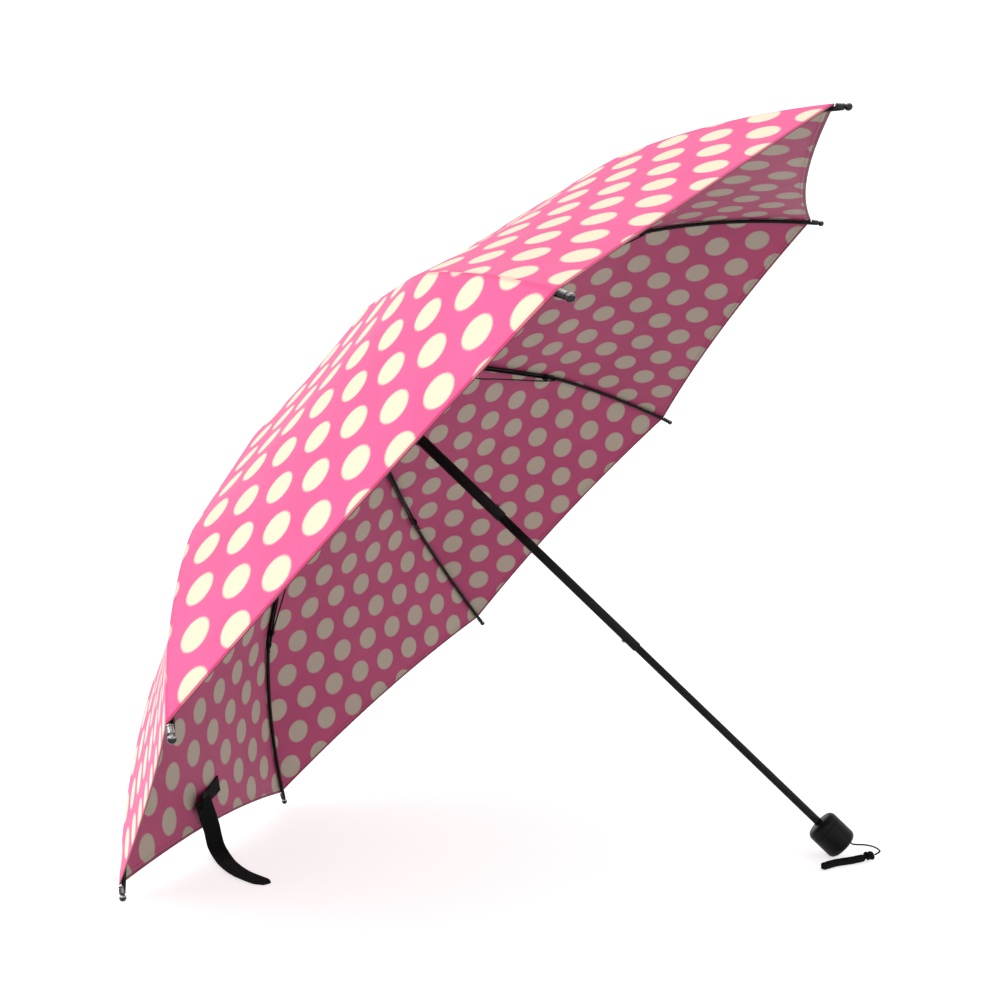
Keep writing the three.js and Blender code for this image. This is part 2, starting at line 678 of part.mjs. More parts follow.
/** The cord leaves the handle's end, drops to the floor and carries the knotted wrist strap. */
function addWristStrap(stand, umbrella) {
  const face = HANDLE.bottom + HANDLE_PLUG.face - TOUCH;
  const { x: cordX, y: cordY } = HANDLE_PLUG.cordAt;
  const exit = umbrella.localToWorld(new THREE.Vector3(cordX, cordY, face));
  const clear = umbrella.localToWorld(new THREE.Vector3(cordX, cordY, face - CORD.straight));
  const lying = WRIST_STRAP.radius + FLOOR_GAP;
  const at = (x, y, z) => new THREE.Vector3(exit.x + x, exit.y + y, z);
  const knot = at(14, -12.5, KNOT.radius + FLOOR_GAP);
  const cord = [
    exit, clear, at(10, -1.6, exit.z - 1.8), at(18.4, -4.4, exit.z - 2.6), at(23.2, -8.4, 7.4),
    at(18.6, -11.5, 5.2),
  ];
  const strap = [
    at(10.3, -15.5, lying + 0.6), at(-1, -23, lying), at(-14, -31, lying), at(-26, -44, lying),
  ];
  stand.add(
    mesh("wrist_cord", cordGeometry(cord, CORD.radius, CORD.sides, CORD.steps), MATERIALS.webbing),
    mesh("cord_knot", new THREE.IcosahedronGeometry(KNOT.radius, 2).translate(...knot), MATERIALS.webbing),
    mesh("wrist_strap", cordGeometry(strap, WRIST_STRAP.radius, WRIST_STRAP.sides, WRIST_STRAP.steps),
      MATERIALS.webbing),
  );
}

/** The strap is sewn inside the lowest gore, and falls over its hem onto the floor. */
function addClosingStrap(stand, hem) {
  const lying = CLOSING_STRAP.thickness / 2 + FLOOR_GAP;
  const at = (x, y, z) => new THREE.Vector3(hem.x + x, hem.y + y, z);
  const route = [
    at(9.5, -42, 52), at(9.5, -34, 38), at(10, -26, 22), at(15, -30, 9), at(28, -44, lying + 0.6),
    at(46, -68, lying), at(70, -94, lying), at(103, -119, lying),
  ];
  const across = [new THREE.Vector3(0.6, 1, 0), new THREE.Vector3(1, 0.55, 0)];
  stand.add(mesh("closing_strap", strapGeometry(route, across), MATERIALS.webbing));
}

function build() {
  const umbrella = new THREE.Group();
  addRibs(umbrella);
  addShaft(umbrella);
  umbrella.rotation.y = -leanAngle();
  const stand = new THREE.Group();
  stand.add(umbrella);
  stand.updateMatrixWorld(true);
  const reach = new THREE.Box3().setFromObject(umbrella, true);
  const middle = reach.getCenter(new THREE.Vector3());
  umbrella.position.set(-middle.x, -middle.y, -reach.min.z);
  umbrella.updateMatrixWorld(true);

  addWristStrap(stand, umbrella);
  const lowRim = new THREE.Vector3(-PIVOTS.tip.x * Math.cos(GORE_ANGLE / 2), 0, 0);
  addClosingStrap(stand, umbrella.localToWorld(lowRim));
  return stand;
}

export default build();
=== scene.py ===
"""A children's folding umbrella, open and standing on two rib tips and its handle.

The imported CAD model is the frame. This script adds the camera, the cords, the printed cloth,
the turned and moulded pieces, their materials, the floor and the light. Lengths are in metres.
"""

import json
import math

import bmesh
import bpy
import numpy as np
from mathutils import Matrix, Vector


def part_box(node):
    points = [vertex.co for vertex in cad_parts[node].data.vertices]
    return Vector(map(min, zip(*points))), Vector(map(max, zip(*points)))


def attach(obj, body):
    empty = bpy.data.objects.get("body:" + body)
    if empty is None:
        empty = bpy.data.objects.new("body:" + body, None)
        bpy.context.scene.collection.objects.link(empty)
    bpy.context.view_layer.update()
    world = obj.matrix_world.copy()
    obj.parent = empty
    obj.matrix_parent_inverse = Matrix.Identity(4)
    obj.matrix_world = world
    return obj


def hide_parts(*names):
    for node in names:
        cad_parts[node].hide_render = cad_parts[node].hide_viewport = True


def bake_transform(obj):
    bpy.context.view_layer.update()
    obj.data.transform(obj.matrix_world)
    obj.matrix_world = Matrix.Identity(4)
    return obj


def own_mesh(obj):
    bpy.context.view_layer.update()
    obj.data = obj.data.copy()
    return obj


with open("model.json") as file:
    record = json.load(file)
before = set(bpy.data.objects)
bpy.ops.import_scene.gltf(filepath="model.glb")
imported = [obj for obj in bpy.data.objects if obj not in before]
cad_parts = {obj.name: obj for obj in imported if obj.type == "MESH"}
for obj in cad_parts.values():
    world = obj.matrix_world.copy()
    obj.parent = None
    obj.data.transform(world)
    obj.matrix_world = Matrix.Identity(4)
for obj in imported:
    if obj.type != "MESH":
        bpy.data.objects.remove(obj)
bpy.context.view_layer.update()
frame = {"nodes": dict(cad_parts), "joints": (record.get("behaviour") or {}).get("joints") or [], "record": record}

MM = 0.001
RIB_COUNT = 8
RIBS = range(RIB_COUNT)
HALF_GORE = math.pi / RIB_COUNT
JOINTS = {joint["name"]: joint for joint in frame["joints"]}

# ---------------------------------------------------------------- the umbrella's own axes, from the joints


def pivot(kind, rib):
    """Where the joint at the inner end of one rib's piece sits."""
    return Vector(JOINTS[f"{kind}_fold_{rib}"]["pos_m"])


UP = -Vector(JOINTS["runner_slide"]["axis"]).normalized()
HUB = sum((pivot("top_rib", rib) for rib in RIBS), Vector()) / RIB_COUNT
OUT = [(pivot("top_rib", rib) - HUB).normalized() for rib in RIBS]
SIDE = UP.cross(Vector((0, 1, 0))).normalized() * -1  # across the shaft, on the side of the sky


def in_plane(point, rib):
    """A point as (radius, height) in one rib's plane, with the height from the crown's pivots."""
    offset = point - HUB
    return np.array((offset.dot(OUT[rib]), offset.dot(UP)))


def vertices(name):
    """The corners of one CAD node, as an array."""
    return np.array([v.co for v in frame["nodes"][name].data.vertices])


def along_shaft(name):
    """(lowest, highest, widest radius) of a CAD node, measured along the shaft and around it."""
    points = vertices(name) - np.array(HUB)
    along = points @ np.array(UP)
    radius = np.linalg.norm(points - np.outer(along, np.array(UP)), axis=1)
    return along.min(), along.max(), radius.max()


def wire_end(rib):
    """The centre of the outer rib's free end."""
    points = vertices(f"outer_rib_{rib}")
    reach = np.linalg.norm(points - np.array(pivot("outer_rib", rib)), axis=1)
    return Vector(points[reach > reach.max() - 0.3 * MM].mean(0))


# ---------------------------------------------------------------- camera

CAMERA = {"at": (0.2144, -1.0621, 0.2863), "azimuth": 11.75, "elevation": -1.56, "roll": -2.18, "lens": 43.04}


def add_camera():
    """The photograph's viewpoint; angles in degrees."""
    azimuth, elevation, roll = (math.radians(CAMERA[name]) for name in ("azimuth", "elevation", "roll"))
    level = math.cos(elevation)
    forward = Vector((-math.sin(azimuth) * level, math.cos(azimuth) * level, -math.sin(elevation)))
    flat_right = Vector((math.cos(azimuth), math.sin(azimuth), 0))
    flat_up = flat_right.cross(forward)
    right = flat_right * math.cos(roll) + flat_up * math.sin(roll)
    up = right.cross(forward)
    camera = bpy.data.objects.new("camera", bpy.data.cameras.new("camera"))
    camera.data.lens = CAMERA["lens"]
    camera.data.clip_start = 0.01
    camera.matrix_world = Matrix((right, up, -forward)).transposed().to_4x4()
    camera.location = CAMERA["at"]
    bpy.context.scene.collection.objects.link(camera)
    bpy.context.scene.camera = camera


# ---------------------------------------------------------------- materials


class Paint:
    """One procedural material: a Principled shader, and short ways to add nodes to it."""

    def __init__(self, name, sockets):
        self.material = bpy.data.materials.new(name)
        self.material.use_nodes = True
        self.tree = self.material.node_tree
        self.shader = self.tree.nodes["Principled BSDF"]
        for socket, value in sockets.items():
            self.shader.inputs[socket].default_value = value

    def node(self, kind, inputs=(), **settings):
        made = self.tree.nodes.new(kind)
        for setting, value in settings.items():
            setattr(made, setting, value)
        for index, value in enumerate(inputs):
            if isinstance(value, bpy.types.NodeSocket):
                self.tree.links.new(value, made.inputs[index])
            elif value is not None:
                made.inputs[index].default_value = value
        return made

    def link(self, output, socket):
        self.tree.links.new(output, self.shader.inputs[socket])

    def math(self, operation, *inputs):
        return self.node("ShaderNodeMath", inputs, operation=operation).outputs[0]

    def place(self):
        return self.node("ShaderNodeTexCoord").outputs["Object"]

    def uv(self, layer):
        return self.node("ShaderNodeUVMap", uv_map=layer).outputs[0]

    def noise(self, vector, scale, detail=3.0, roughness=0.55):
        made = self.node("ShaderNodeTexNoise")
        self.tree.links.new(vector, made.inputs["Vector"])
        made.inputs["Scale"].default_value = scale
        made.inputs["Detail"].default_value = detail
        made.inputs["Roughness"].default_value = roughness
        return made.outputs["Fac"]

    def map(self, value, low, high, to_low, to_high, smooth=False):
        kind = "SMOOTHSTEP" if smooth else "LINEAR"
        return self.node(
            "ShaderNodeMapRange", (value, low, high, to_low, to_high), interpolation_type=kind,
        ).outputs[0]

    def mix(self, share, first, second):
        made = self.node("ShaderNodeMix", data_type="RGBA")
        for socket, value in ((made.inputs[0], share), (made.inputs[6], first), (made.inputs[7], second)):
            if isinstance(value, bpy.types.NodeSocket):
                self.tree.links.new(value, socket)
            else:
                socket.default_value = value
        return made.outputs[2]

    def bump(self, height, strength, distance, under=None):
        made = self.node("ShaderNodeBump")
        made.inputs["Strength"].default_value = strength
        made.inputs["Distance"].default_value = distance
        self.tree.links.new(height, made.inputs["Height"])
        if under is not None:
            self.tree.links.new(under, made.inputs["Normal"])
        self.link(made.outputs[0], "Normal")
        return made.outputs[0]


def grey(level):
    return (level, level, level, 1)


# The print repeats in cells with a dot at the corners and one in the middle; blur is a dot's soft edge.
PRINT = {"across": 66 * MM, "along": 41 * MM, "radius": 12.2 * MM, "blur": 1.1 * MM}
HEM_WIDTH = 6 * MM
HEM_FOLD = 3 * MM  # how far in from the rim the cloth shows darker, where it is doubled


def printed_cloth(name, ground, dot, deep, hem, sheen):
    """Taffeta with a staggered print of dots; UV layer print is the cloth in metres."""
    paint = Paint(name, {"Roughness": 0.62, "Sheen Weight": sheen, "Specular IOR Level": 0.3})
    cell = (PRINT["across"], PRINT["along"], 1)
    half = tuple(size / 2 for size in cell)
    lowest = tuple(-size for size in half)
    fabric = paint.uv("print")
    edge = paint.uv("edge")
    distances = []
    for shift in ((0, 0, 0), half):
        moved = paint.node("ShaderNodeVectorMath", (fabric, shift), operation="ADD").outputs[0]
        wrapped = paint.node("ShaderNodeVectorMath", (moved, half, lowest), operation="WRAP").outputs[0]
        flat = paint.node("ShaderNodeVectorMath", (wrapped, (1, 1, 0)), operation="MULTIPLY").outputs[0]
        distances.append(paint.node("ShaderNodeVectorMath", (flat,), operation="LENGTH").outputs["Value"])
    nearest = paint.math("MINIMUM", *distances)
    ragged = paint.map(paint.noise(fabric, 900, 2), 0.3, 0.7, -0.35 * MM, 0.35 * MM)
    nearest = paint.math("ADD", nearest, ragged)
    inside = paint.map(
        nearest, PRINT["radius"] - PRINT["blur"], PRINT["radius"] + PRINT["blur"], 1.0, 0.0, smooth=True,
    )
    uneven = paint.map(paint.noise(fabric, 14, 4), 0.3, 0.7, 0.0, 0.55)
    base = paint.mix(uneven, ground, deep)
    printed = paint.mix(inside, base, dot)
    sides = paint.node("ShaderNodeSeparateXYZ", (edge,))
    from_seam, from_rim = sides.outputs[0], sides.outputs[1]
    hem_share = paint.map(from_rim, HEM_FOLD - 0.4 * MM, HEM_FOLD + 0.4 * MM, 0.85, 0.0, smooth=True)
    seam_share = paint.map(from_seam, 1.0 * MM, 3.2 * MM, 0.28, 0.0, smooth=True)
    shaded = paint.mix(paint.math("MAXIMUM", hem_share, seam_share), printed, hem)
    paint.link(shaded, "Base Color")

    stitch_row = paint.math("ABSOLUTE", paint.math("SUBTRACT", from_rim, HEM_WIDTH - 1.0 * MM))
    stitches = paint.map(stitch_row, 0.25 * MM, 0.7 * MM, 1.0, 0.0, smooth=True)
    stretched = paint.node("ShaderNodeVectorMath", (edge, (190, 22, 1)), operation="MULTIPLY").outputs[0]
    near_seam = paint.map(from_seam, 0.0, 45 * MM, 1.0, 0.25, smooth=True)
    pucker = paint.math("MULTIPLY", paint.noise(stretched, 0.22, 3), near_seam)
    drape = paint.noise(fabric, 11, 3)
    soft = paint.bump(drape, 0.32, 6 * MM)
    creased = paint.bump(pucker, 0.35, 2.5 * MM, soft)
    warp = paint.node("ShaderNodeTexWave", wave_type="BANDS", bands_direction="X")
    weft = paint.node("ShaderNodeTexWave", wave_type="BANDS", bands_direction="Y")
    for thread in (warp, weft):
        paint.tree.links.new(fabric, thread.inputs["Vector"])
        thread.inputs["Scale"].default_value = 420
        thread.inputs["Distortion"].default_value = 0.6
    weave = paint.math("MAXIMUM", warp.outputs["Fac"], weft.outputs["Fac"])
    woven = paint.bump(weave, 0.22, 0.15 * MM, creased)
    paint.bump(stitches, 0.6, 0.4 * MM, woven)
    return paint.material


def moulded_plastic(name, level, roughness):
    """Black plastic with a fine spark-eroded grain and rubbed patches."""
    paint = Paint(name, {"Roughness": roughness, "Specular IOR Level": 0.1})
    place = paint.place()
    rubbed = paint.map(paint.noise(place, 60, 5), 0.35, 0.75, roughness - 0.1, roughness + 0.12)
    paint.link(rubbed, "Roughness")
    dust = paint.map(paint.noise(place, 240, 6, 0.7), 0.62, 0.85, 0.0, 0.5)
    paint.link(paint.mix(dust, grey(level), grey(level * 2.6)), "Base Color")
    paint.bump(paint.noise(place, 2600, 3), 0.12, 0.1 * MM)
    return paint.material


def lacquered_steel(name, level):
    """Black lacquer over drawn steel: glossy, with rubbed lighter streaks."""
    paint = Paint(name, {"Specular IOR Level": 0.12})
    place = paint.place()
    rubbed = paint.map(paint.noise(place, 130, 5, 0.65), 0.55, 0.8, 0.0, 0.6)
    paint.link(paint.mix(rubbed, grey(level), grey(level * 4)), "Base Color")
    paint.link(paint.map(paint.noise(place, 45, 4), 0.3, 0.7, 0.22, 0.42), "Roughness")
    paint.bump(paint.noise(place, 900, 3), 0.08, 0.1 * MM)
    return paint.material


def bright_metal(name):
    """Nickel plate with faint handling marks, and painted shade and reflection: dark where it faces down, bright
    where it faces up.
    """
    paint = Paint(name, {"Metallic": 1.0})
    place = paint.place()
    tarnish = paint.map(paint.noise(place, 150, 5), 0.45, 0.75, 0.0, 0.7)
    plate = paint.mix(tarnish, grey(0.6), (0.42, 0.41, 0.39, 1))
    # Painted shade and reflection: the colour goes near black where the surface faces down, and to the plate's
    # colour where it faces up.
    facing = paint.node("ShaderNodeSeparateXYZ", (paint.node("ShaderNodeNewGeometry").outputs["Normal"],))
    painted_light_share = paint.map(facing.outputs[2], 0.1, 0.75, 0.0, 1.0, smooth=True)
    paint.link(paint.mix(painted_light_share, grey(0.03), plate), "Base Color")
    paint.link(paint.map(paint.noise(place, 320, 4), 0.3, 0.7, 0.1, 0.26), "Roughness")
    paint.bump(paint.noise(place, 1400, 2), 0.06, 0.05 * MM)
    return paint.material


def black_webbing(name, across, along):
    """Ribbed polyester webbing; UV layer print is the strap in metres, across and along."""
    paint = Paint(name, {"Roughness": 0.8, "Sheen Weight": 0.0, "Specular IOR Level": 0.06})
    strap = paint.uv("print")
    warp = paint.node("ShaderNodeTexWave", wave_type="BANDS", bands_direction="X")
    weft = paint.node("ShaderNodeTexWave", wave_type="BANDS", bands_direction="Y")
    for thread, scale in ((warp, across), (weft, along)):
        paint.tree.links.new(strap, thread.inputs["Vector"])
        thread.inputs["Scale"].default_value = scale
        thread.inputs["Distortion"].default_value = 0.8
    threads = paint.math("MULTIPLY", warp.outputs["Fac"], weft.outputs["Fac"])
    worn = paint.map(paint.noise(strap, 300, 4), 0.35, 0.75, 0.0, 1.0)
    dark = paint.mix(threads, grey(0.002), grey(0.009))
    paint.link(paint.mix(paint.math("MULTIPLY", worn, 0.3), dark, grey(0.016)), "Base Color")
    paint.bump(threads, 0.7, 0.3 * MM)
    return paint.material


def pale_floor(name):
    """A matt white studio floor; its faint glow keeps it pale under the object."""
    glow = {"Emission Color": (1, 1, 1, 1), "Emission Strength": 0.62}
    paint = Paint(name, {"Roughness": 0.7, "Specular IOR Level": 0.15, **glow})
    place = paint.place()
    clouds = paint.map(paint.noise(place, 0.9, 3), 0.3, 0.7, 0.0, 1.0)
    paint.link(paint.mix(clouds, grey(0.62), grey(0.64)), "Base Color")
    paint.bump(paint.noise(place, 160, 3), 0.04, 0.2 * MM)
    return paint.material


MATERIALS = {
    "cloth_outside": printed_cloth(
        "cloth_outside", (0.86, 0.125, 0.33, 1), (0.90, 0.77, 0.57, 1), (0.81, 0.08, 0.26, 1),
        (0.62, 0.02, 0.14, 1), 0.06,
    ),
    # The inside of the same cloth: the print shows through weaker here, and all its colours are also darkened a
    # lot as painted shade.
    "cloth_inside_painted_shade": printed_cloth(
        "cloth_inside_painted_shade", (0.29, 0.034, 0.10, 1), (0.28, 0.235, 0.185, 1), (0.225, 0.023, 0.078, 1),
        (0.12, 0.006, 0.03, 1), 0.03,
    ),
    "plastic": moulded_plastic("black_plastic", 0.003, 0.4),
    "steel": lacquered_steel("black_steel", 0.003),
    "metal": bright_metal("bright_metal"),
    "webbing": black_webbing("black_webbing", 620, 330),
    "braid": black_webbing("black_braid", 900, 500),
    "floor": pale_floor("pale_floor"),
}

# ---------------------------------------------------------------- making and placing meshes


def new_object(name, points, faces, materials, smooth_angle=None):
    """A mesh object. smooth_angle, in degrees, is the sharpest edge that still shades smooth."""
    data = bpy.data.meshes.new(name)
    data.from_pydata([tuple(point) for point in points], [], faces)
    for material in materials:
        data.materials.append(MATERIALS[material])
    if smooth_angle is not None:
        data.shade_smooth()
        data.set_sharp_from_angle(angle=math.radians(smooth_angle))
    made = bpy.data.objects.new(name, data)
    bpy.context.scene.collection.objects.link(made)
    return made


def set_uv(piece, layer, values):
    """Gives each corner of the mesh its place in a UV layer; values has one pair a corner."""
    made = piece.data.uv_layers.new(name=layer)
    made.data.foreach_set("uv", np.asarray(values, np.float32).ravel())


def across_axis(axis):
    """Two directions square to an axis and to each other."""
    first = axis.cross(Vector((0, 1, 0)))
    if first.length < 0.1:
        first = axis.cross(Vector((1, 0, 0)))
    first.normalize()
    return first, axis.cross(first).normalized()


def turned(name, outline, centre, axis, material, segments=72):
    """A turned piece: outline is (radius, along) from end to end, on the axis at both or closed."""
    first, second = across_axis(axis)
    points, rings = [], []
    for radius, along in outline:
        middle = centre + axis * along
        if radius < 1e-7:
            rings.append([len(points)] * segments)
            points.append(middle)
            continue
        rings.append(list(range(len(points), len(points) + segments)))
        for turn in range(segments):
            angle = 2 * math.pi * turn / segments
            points.append(middle + (first * math.cos(angle) + second * math.sin(angle)) * radius)
    on_axis = outline[0][0] < 1e-7
    pairs = list(zip(rings, rings[1:])) + ([] if on_axis else [(rings[-1], rings[0])])
    faces = []
    for low, high in pairs:
        for turn in range(segments):
            after = (turn + 1) % segments
            face = dict.fromkeys((low[turn], low[after], high[after], high[turn]))
            if len(face) > 2:
                faces.append(tuple(face))
    piece = new_object(name, points, faces, [material], 32)
    recalculate_normals(piece)
    return piece


def recalculate_normals(piece):
    made = bmesh.new()
    made.from_mesh(piece.data)
    bmesh.ops.recalc_face_normals(made, faces=made.faces)
    made.to_mesh(piece.data)
    made.free()


def arc(radius, along, size, start, end, steps=8):
    """Points of a rounded corner, as (radius, along); angles in degrees, 0 outward and 90 up."""
    angles = (math.radians(start + (end - start) * step / steps) for step in range(steps + 1))
    return [(radius + size * math.cos(angle), along + size * math.sin(angle)) for angle in angles]


# ---------------------------------------------------------------- cords, made first after the camera


def smooth_line(route, count):
    """Evenly spaced points on the smooth curve through a route (centripetal Catmull-Rom)."""
    route = [np.array(point, float) for point in route]
    route = [2 * route[0] - route[1], *route, 2 * route[-1] - route[-2]]
    fine = []
    for first, second, third, fourth in zip(route, route[1:], route[2:], route[3:]):
        knots = [0.0]
        for a, b in ((first, second), (second, third), (third, fourth)):
            knots.append(knots[-1] + math.sqrt(np.linalg.norm(b - a)))
        for time in np.linspace(knots[1], knots[2], 40, endpoint=False):
            ends = [first, second, third, fourth]
            for level in (1, 2, 3):
                ends = [
                    ((knots[i + level] - time) * ends[i] + (time - knots[i]) * ends[i + 1])
                    / (knots[i + level] - knots[i])
                    for i in range(len(ends) - 1)
                ]
            fine.append(ends[0])
    fine = np.array([*fine, route[-2]])
    reach = np.concatenate([[0], np.cumsum(np.linalg.norm(np.diff(fine, axis=0), axis=1))])
    spots = np.linspace(0, reach[-1], count)
    return np.stack([np.interp(spots, reach, fine[:, axis]) for axis in range(3)], 1), reach[-1]


def strand(name, route, radius, relief, material, steps, sides=24, end_round=True):
    """A tube along a route. relief(turn, metres along) is its surface's height, as a share of radius."""
    line, length = smooth_line(route, steps)
    points, values = [], []
    forward = np.gradient(line, axis=0)
    forward /= np.linalg.norm(forward, axis=1)[:, None]
    across = np.cross(forward[0], (0, 0, 1))
    across /= np.linalg.norm(across)
    for step in range(steps):
        across = across - forward[step] * across.dot(forward[step])
        across /= np.linalg.norm(across)
        over = np.cross(forward[step], across)
        along = length * step / (steps - 1)
        closing = min(along, length - along) / radius
        taper = math.sqrt(max(0.04, 1 - (1 - min(1, closing)) ** 2)) if end_round else 1
        for side in range(sides):
            turn = 2 * math.pi * side / sides
            size = radius * taper * (1 + relief(turn, along))
            points.append(line[step] + size * (across * math.cos(turn) + over * math.sin(turn)))
            values.append((turn * radius, along))
    faces, corners = [], []
    for step in range(steps - 1):
        for side in range(sides):
            after = (side + 1) % sides
            here, there = step * sides, (step + 1) * sides
            faces.append((here + side, here + after, there + after, there + side))
            wrap = 2 * math.pi * radius if after == 0 else 0
            near, far = values[here + side], values[there + side]
            corners += [near, (values[here + after][0] + wrap, near[1]),
                        (values[there + after][0] + wrap, far[1]), far]
    for first, way in ((0, -1), ((steps - 1) * sides, 1)):
        faces.append(tuple(range(first, first + sides))[::way])
        corners += [(0, 0)] * sides
    piece = new_object(name, points, faces, [material], 60)
    set_uv(piece, "print", corners)
    return piece, line, length


PLUG_LOW = along_shaft("handle_plug")[0]
CORD_AT = (6.8 * MM, -2 * MM)  # where the cord leaves the plug, across the shaft and toward the camera
CORD_EXIT = HUB + UP * (PLUG_LOW - 0.3 * MM) + SIDE * CORD_AT[0] + Vector((0, CORD_AT[1], 0))
CORD_CLEAR = CORD_EXIT - UP * 2.5 * MM
CORD_RADIUS = 0.65 * MM
STRAP_RADIUS = 2.9 * MM
STRAP_LYING = STRAP_RADIUS + 0.4 * MM
KNOT_RADIUS = 4.8 * MM


def beside_exit(x, y, z):
    """A point by its floor offset from the cord's exit and its height over the floor, in millimetres."""
    return Vector((CORD_EXIT.x + x * MM, CORD_EXIT.y + y * MM, z * MM))


EXIT_HEIGHT = CORD_EXIT.z / MM
CORD_ROUTE = [
    CORD_EXIT, CORD_CLEAR,
    beside_exit(10, -1.6, EXIT_HEIGHT - 1.8), beside_exit(18.4, -4.4, EXIT_HEIGHT - 2.6),
    beside_exit(23.2, -8.4, 7.4), beside_exit(18.6, -11.5, 5.2),
]
LYING = STRAP_LYING / MM
STRAP_ROUTE = [
    beside_exit(10.3, -15.5, LYING + 0.6), beside_exit(-1, -23, LYING), beside_exit(-14, -31, LYING),
    beside_exit(-26, -44, LYING),
]


def twisted(turn, along):
    """Three plies laid round each other."""
    return 0.16 * (abs(math.cos(1.5 * turn + along * 1100)) - 0.7)


def braided(turn, along):
    """Flat plaits that cross on the strap's two faces."""
    rising = math.cos(4 * turn + along * 900)
    falling = math.cos(4 * turn - along * 900)
    return 0.17 * (max(rising, falling) - 0.6)


def overhand_knot(name, centre, radius, material):
    """A pulled-tight overhand knot: one thick strand on a trefoil, with its two tails tucked in."""
    ply = radius * 0.36
    spread = (radius - ply) / 3
    line = []
    steps = 120
    for step in range(steps):
        turn = 2 * math.pi * step / steps
        line.append(Vector((
            spread * (math.sin(turn) + 2 * math.sin(2 * turn)),
            spread * (math.cos(turn) - 2 * math.cos(2 * turn)),
            -spread * 1.5 * math.sin(3 * turn),
        )))
    points, faces, corners = [], [], []
    sides = 14
    for step in range(steps):
        forward = (line[(step + 1) % steps] - line[step - 1]).normalized()
        across = forward.cross(Vector((0.1, 0.05, 1))).normalized()
        over = forward.cross(across)
        for side in range(sides):
            turn = 2 * math.pi * side / sides
            size = ply * (1 + 0.08 * math.cos(3 * turn + step * 0.9))
            points.append(centre + line[step] + (across * math.cos(turn) + over * math.sin(turn)) * size)
    for step in range(steps):
        for side in range(sides):
            here, there = step * sides, ((step + 1) % steps) * sides
            after = (side + 1) % sides
            faces.append((here + side, here + after, there + after, there + side))
            low, high = step * 0.4 * MM, (step + 1) * 0.4 * MM
            left, right = side * 0.7 * MM, (side + 1) * 0.7 * MM
            corners += [(left, low), (right, low), (right, high), (left, high)]
    piece = new_object(name, points, faces, [material], 60)
    set_uv(piece, "print", corners)
    recalculate_normals(piece)
    return piece


def add_wrist_strap():
    """The thin cord out of the handle, its knot, and the braided strap that lies on the floor."""
    cord, cord_line, cord_length = strand(
        "wrist_cord_laid", CORD_ROUTE, CORD_RADIUS, twisted, "braid", 150, 16, end_round=False,
    )
    knot_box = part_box("cord_knot")
    knot = overhand_knot("cord_knot_tied", (knot_box[0] + knot_box[1]) / 2, KNOT_RADIUS, "braid")
    strap, strap_line, strap_length = strand(
        "wrist_strap_braided", STRAP_ROUTE, STRAP_RADIUS, braided, "braid", 260, 32,
    )
    for piece, node in ((cord, "wrist_cord"), (knot, "cord_knot"), (strap, "wrist_strap")):
        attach(piece, "lower_tube")
        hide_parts(node)


# ---------------------------------------------------------------- canopy cloth

CLOTH_THICKNESS = 0.35 * MM
HEM_THICKNESS = 0.9 * MM
CLOTH_OVER_RIB = 2.9 * MM  # the cloth's outer face over a rib's centre line
RIB_OFFSET = 1.9 * MM  # of the outer rib's centre line from its joint
RIB_BOW = 6.5 * MM
CORNER_GAP = 6.2 * MM  # of the cloth's corner from the end of the wire
APEX_RADIUS = 3.2 * MM
SCALLOP = 12 * MM
GORE_SAG = 0.016  # of the cloth between two ribs, as a share of their distance
ROUNDING = 14 * MM  # along the cloth, each side of a rib joint


def unit(vector):
    return vector / np.linalg.norm(vector)


def square_to(vector):
    return np.array((-vector[1], vector[0]))


def cloth_profile():
    """The cloth's outer face over a rib, as (radius, height) points, and where the joints fall on it."""
    first = in_plane(pivot("middle_rib", 0), 0)
    second = in_plane(pivot("outer_rib", 0), 0)
    end = in_plane(wire_end(0), 0)
    apex = np.array((APEX_RADIUS, along_shaft("canopy")[1]))
    outward = square_to(unit(end - second))
    run_end = end - outward * RIB_OFFSET
    length = np.linalg.norm(run_end - second)
    first = first + CLOTH_OVER_RIB * unit(square_to(unit(first - apex)) + square_to(unit(second - first)))

    def over_outer(share):
        height = RIB_OFFSET + CLOTH_OVER_RIB + 4 * RIB_BOW * share * (1 - share)
        return second + (run_end - second) * share + outward * height

    last_share = 1 - CORNER_GAP / length
    fine = 160
    points = [apex + (first - apex) * step / fine for step in range(fine)]
    first_at = len(points)
    joint = over_outer(0)
    points += [first + (joint - first) * step / fine for step in range(fine)]
    second_at = len(points)
    points += [over_outer(last_share * step / fine) for step in range(fine + 1)]
    points = np.array(points)
    reach = np.concatenate([[0], np.cumsum(np.linalg.norm(np.diff(points, axis=0), axis=1))])
    rounded = points.copy()
    for index in range(1, len(points) - 1):
        half = min(ROUNDING, reach[index], reach[-1] - reach[index])
        spots = np.linspace(reach[index] - half, reach[index] + half, 15)
        for axis in (0, 1):
            rounded[index, axis] = np.interp(spots, reach, points[:, axis]).mean()
    return rounded, reach, reach[first_at], reach[second_at]


PROFILE, REACH, FIRST_JOINT, SECOND_JOINT = cloth_profile()
RIM = REACH[-1]
CENTRE_RUN = np.diff(PROFILE, axis=0) * (math.cos(HALF_GORE), 1)
PRINT_REACH = np.concatenate([[0], np.cumsum(np.linalg.norm(CENTRE_RUN, axis=1))])


def profile_at(spot):
    return np.stack([np.interp(spot, REACH, PROFILE[:, axis]) for axis in (0, 1)], -1)


def cloth_spot(along, share):
    """Where on the profile a point lies: the rim is hollowed between the ribs, the joints are not."""
    outer = np.clip((along - SECOND_JOINT) / (RIM - SECOND_JOINT), 0, 1)
    return along - SCALLOP * outer ** 2 * 4 * share * (1 - share)


